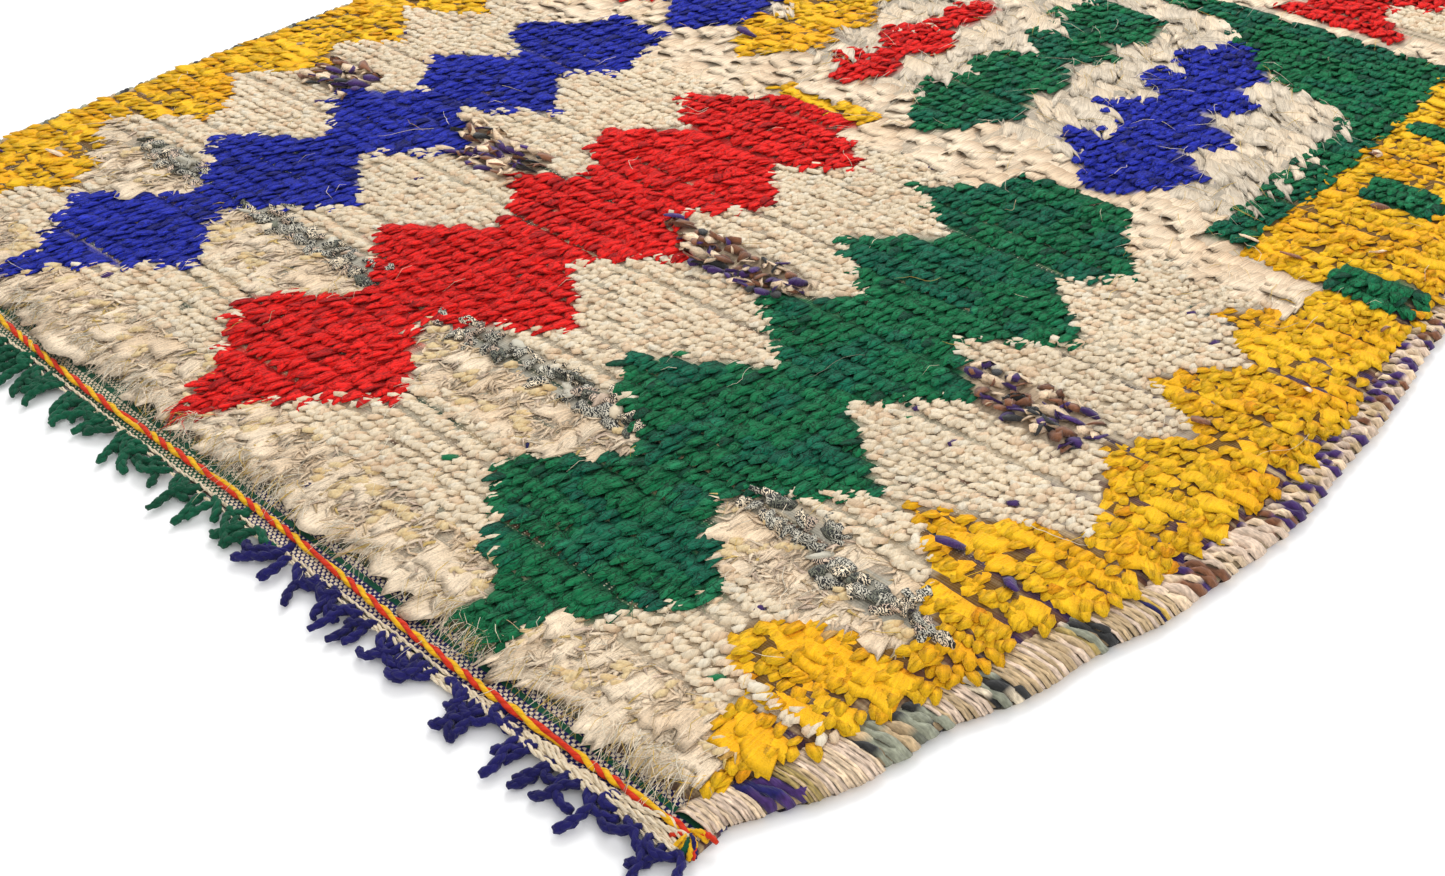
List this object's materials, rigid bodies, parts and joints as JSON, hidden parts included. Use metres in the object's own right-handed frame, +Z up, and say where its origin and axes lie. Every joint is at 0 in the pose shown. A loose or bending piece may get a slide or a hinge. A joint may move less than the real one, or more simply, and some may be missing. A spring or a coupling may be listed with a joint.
{
  "type": "azilal rug",
  "caption": "Flat hand-knotted wool pile rug with wrapped side edges and one fringed end, for laying on a floor.",
  "frame": {"origin": "middle of the underside, on the floor", "axes": "+X across the width, +Y along the length away from the fringed end, +Z up out of the pile"},
  "size_m": [1.2399, 2.06, 0.0273],
  "materials": {
    "pile_wool": "knotted wool pile in rows, undyed cream with dyed green, red, blue and yellow figures",
    "edge_wrap": "wrapped yarn and torn cloth in sections",
    "end_cord_yarn": "two-ply twisted wool cord, one ply red-orange and one yellow",
    "twining_yarn": "undyed plied cotton and wool",
    "fringe_green_yarn": "dark green looped wool yarn",
    "fringe_navy_yarn": "navy looped wool yarn"
  },
  "bodies": {
    "root": {"pile_field": "pile_wool", "selvedge_right": "edge_wrap", "selvedge_left": "edge_wrap", "end_cord": "end_cord_yarn", "edge_twining": "twining_yarn", "fringe_green": "fringe_green_yarn", "fringe_navy": "fringe_navy_yarn"}
  },
  "joints": []
}
